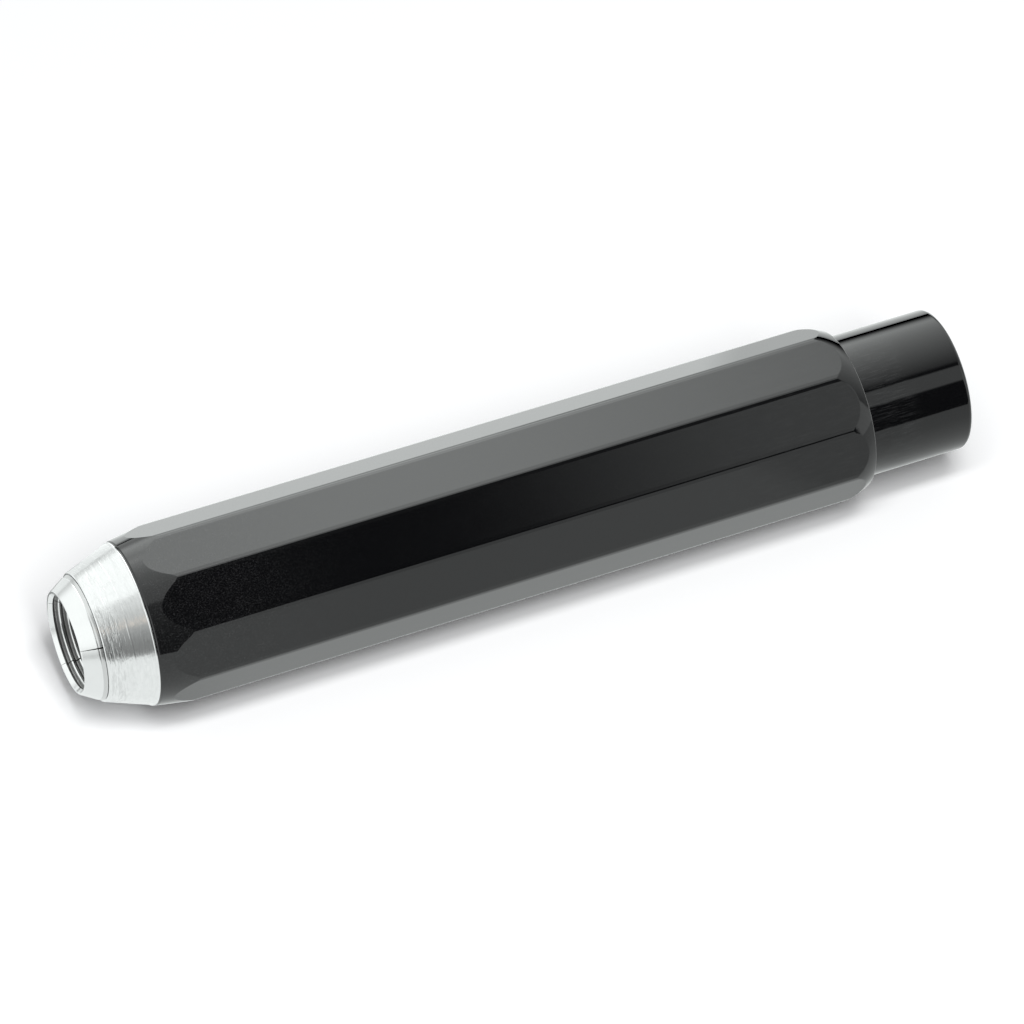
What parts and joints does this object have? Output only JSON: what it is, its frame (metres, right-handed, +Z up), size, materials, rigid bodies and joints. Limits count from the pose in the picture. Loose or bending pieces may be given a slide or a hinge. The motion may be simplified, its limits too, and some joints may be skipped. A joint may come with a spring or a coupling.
{
  "type": "chalk holder",
  "caption": "Push-button chalk holder with a faceted black barrel, turned aluminium nose and sprung collet jaws that grip a round chalk stick.",
  "frame": {"origin": "middle of the overall length, on the surface that the barrel's lowest flat rests on", "axes": "+X along the barrel's axis from the jaws to the push button, +Z up, out of the flat opposite the one it rests on"},
  "size_m": [0.0944, 0.018, 0.0171],
  "materials": {
    "barrel_black": "polished black with fine scratches",
    "nose_aluminium": "turned, with fine tool marks round the axis",
    "jaw_aluminium": "turned bright",
    "spring_steel": "drawn wire",
    "tube_aluminium": "drawn tube",
    "button_black": "polished black"
  },
  "bodies": {
    "holder": {"barrel": "barrel_black", "nose_cone": "nose_aluminium", "return_spring": "spring_steel"},
    "plunger": {"collet_ring": "jaw_aluminium", "chalk_tube": "tube_aluminium", "push_button": "button_black"},
    "jaw_1": {"collet_jaw_1": "jaw_aluminium"},
    "jaw_2": {"collet_jaw_2": "jaw_aluminium"},
    "jaw_3": {"collet_jaw_3": "jaw_aluminium"}
  },
  "joints": [
    {"name": "button_press", "type": "slide", "parent": "holder", "child": "plunger", "axis": [-1, 0, 0], "range_m": [0, 0.004], "stiffness_N_per_m": 1200, "springref_m": -0.004, "deforming": ["return_spring"]},
    {"name": "jaw_1_spread", "type": "hinge", "parent": "plunger", "child": "jaw_1", "pos_m": [-0.02022, 0.00467, 0.00538], "axis": [0, -0.5628, -0.8266], "range_deg": [0, 1.24]},
    {"name": "jaw_2_spread", "type": "hinge", "parent": "plunger", "child": "jaw_2", "pos_m": [-0.02022, 0.0016, 0.01398], "axis": [0, 0.9588, -0.284], "range_deg": [0, 1.24]},
    {"name": "jaw_3_spread", "type": "hinge", "parent": "plunger", "child": "jaw_3", "pos_m": [-0.02022, -0.00473, 0.00546], "axis": [0, -0.5483, 0.8363], "range_deg": [0, 1.24]}
  ],
  "couplings": [
    {"joint": "jaw_1_spread", "follows": "button_press", "rad_per_m": 5.4},
    {"joint": "jaw_2_spread", "follows": "button_press", "rad_per_m": 5.4},
    {"joint": "jaw_3_spread", "follows": "button_press", "rad_per_m": 5.4}
  ]
}
